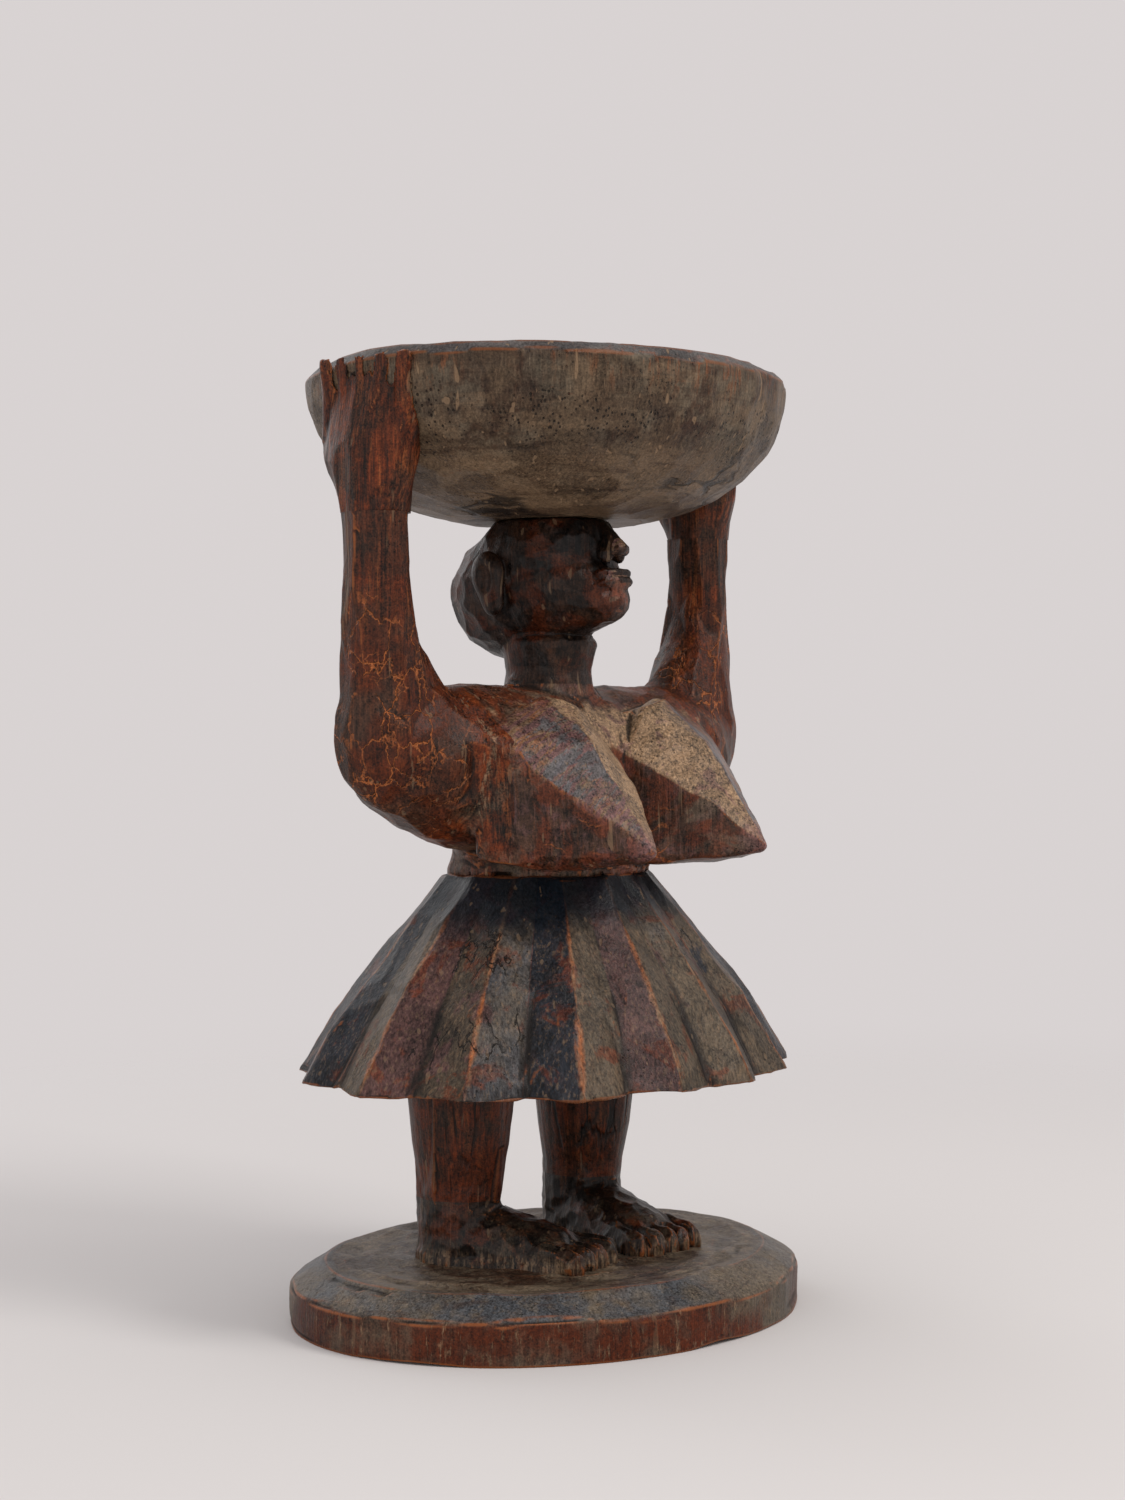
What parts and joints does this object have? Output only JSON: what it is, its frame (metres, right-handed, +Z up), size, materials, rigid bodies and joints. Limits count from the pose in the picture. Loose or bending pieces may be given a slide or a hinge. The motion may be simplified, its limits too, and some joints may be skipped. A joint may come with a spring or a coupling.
{
  "type": "carved ancestor figure",
  "caption": "Carved wooden standing woman in a pleated skirt who holds an oval bowl on her head with both hands, on an oval base.",
  "frame": {"origin": "middle of the base's underside, on the surface that the figure stands on", "axes": "+Z up from the base to the bowl's rim; the figure faces -Y; +X is the figure's own left"},
  "size_m": [0.226, 0.1858, 0.374],
  "materials": {
    "base_wood": "hand-carved, grey-brown worn patina, satin",
    "foot_wood": "dark handled patina, satin",
    "leg_wood": "red-brown stained, fine upright cracks, satin",
    "skirt_wood": "blue-black and grey-brown patina, worn orange-brown pleat edges, satin",
    "body_wood": "dark red-brown patina, satin",
    "breast_wood": "dark red-brown patina worn to tan on the ridges, satin",
    "arm_wood": "rust-red patina with a crazed crust at the elbows, satin",
    "head_wood": "near-black patina with grey knife facets, satin",
    "bowl_wood": "dusty grey-brown patina, fine pores and tool marks, dull satin"
  },
  "bodies": {
    "root": {"base": "base_wood", "right_foot": "foot_wood", "left_foot": "foot_wood", "right_leg": "leg_wood", "left_leg": "leg_wood", "skirt": "skirt_wood", "waist": "body_wood", "torso": "body_wood", "right_breast": "breast_wood", "left_breast": "breast_wood", "right_upper_arm": "arm_wood", "left_upper_arm": "arm_wood", "right_forearm": "arm_wood", "left_forearm": "arm_wood", "right_hand": "arm_wood", "left_hand": "arm_wood", "neck": "head_wood", "head": "head_wood", "right_ear": "head_wood", "left_ear": "head_wood", "bowl": "bowl_wood"}
  },
  "joints": []
}
